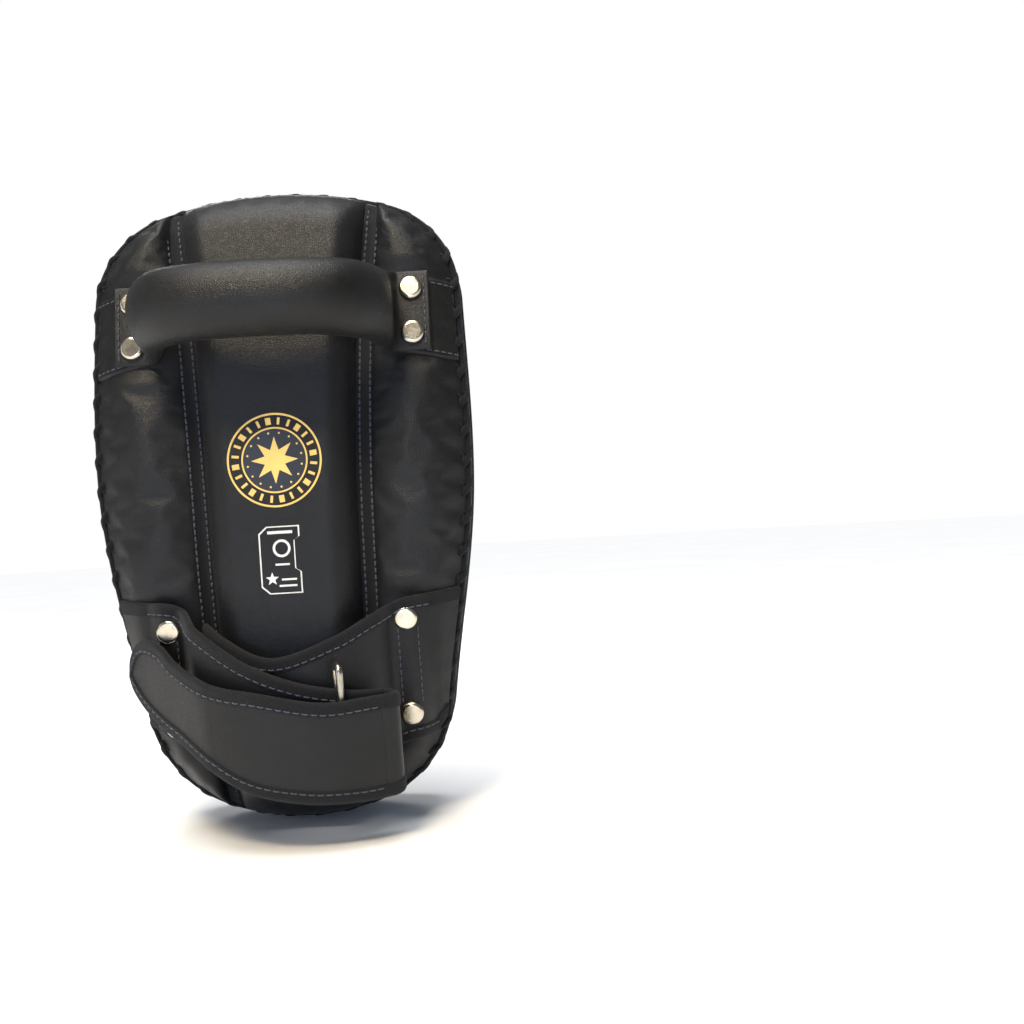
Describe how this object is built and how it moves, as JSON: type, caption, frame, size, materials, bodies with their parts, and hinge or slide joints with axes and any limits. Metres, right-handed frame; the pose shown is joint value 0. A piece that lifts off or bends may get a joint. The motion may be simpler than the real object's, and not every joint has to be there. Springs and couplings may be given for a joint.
{
  "type": "thai pad",
  "caption": "Curved leather striking pad with foam body, laced edge, stuffed handle and a forearm cuff whose strap folds through a ring.",
  "frame": {"origin": "middle of the pad's length and width, level with the lacing that joins the back to the sides", "axes": "+Z along the pad towards the handle end, +Y out of the back towards the holder's arm, +X to the left as seen from behind; the striking face looks along -Y"},
  "size_m": [0.221, 0.1577, 0.375],
  "materials": {
    "pad_leather": "satin",
    "handle_leather": "satin",
    "strap_leather": "satin",
    "piping": "satin",
    "foam": "matte",
    "webbing": "matte",
    "lacing": "matte",
    "fastener_tape": "matte",
    "print": "satin",
    "rivet_metal": "satin",
    "ring_steel": "satin"
  },
  "bodies": {
    "pad": {"back_panel_centre": "pad_leather", "back_panel_left": "pad_leather", "back_panel_right": "pad_leather", "back_stamp": "print", "edge_lacing": "lacing", "face_crest": "print", "face_panel": "pad_leather", "face_piping": "piping", "face_stamp": "print", "foam_back": "foam", "foam_front": "foam", "foam_middle": "foam", "forearm_cushion": "foam", "handle_patch_left": "pad_leather", "handle_patch_right": "pad_leather", "handle_tab_left": "pad_leather", "handle_tab_right": "pad_leather", "loop_tape": "fastener_tape", "ring_tab": "strap_leather", "rivet_washers": "rivet_metal", "rivets": "rivet_metal", "seam_tape_left": "webbing", "seam_tape_right": "webbing", "side_band": "pad_leather", "side_cushion_left": "foam", "side_cushion_right": "foam", "size_label": "print", "strap_base_left": "strap_leather", "strap_base_right": "strap_leather", "strap_inner": "strap_leather", "strap_inner_binding": "webbing", "tongue": "strap_leather", "tongue_binding": "webbing"},
    "handle": {"handle_core": "foam", "handle_cover": "handle_leather"},
    "flap": {"strap_flap": "strap_leather", "strap_flap_binding": "webbing", "hook_tape": "fastener_tape"},
    "ring": {"ring": "ring_steel"}
  },
  "joints": [
    {"name": "handle_rock", "type": "hinge", "parent": "pad", "child": "handle", "pos_m": [0, 0.0125, 0.107], "axis": [1, 0, 0], "range_deg": [-8, 8], "stiffness_Nm_per_rad": 3},
    {"name": "flap_open", "type": "hinge", "parent": "pad", "child": "flap", "pos_m": [-0.064, 0.04307, -0.11181], "axis": [0, 0.1346, 0.9909], "range_deg": [0, 110]},
    {"name": "ring_swing", "type": "hinge", "parent": "pad", "child": "ring", "pos_m": [-0.03, 0.04334, -0.11185], "axis": [0, 0.1346, 0.9909], "range_deg": [-6, 6]}
  ]
}
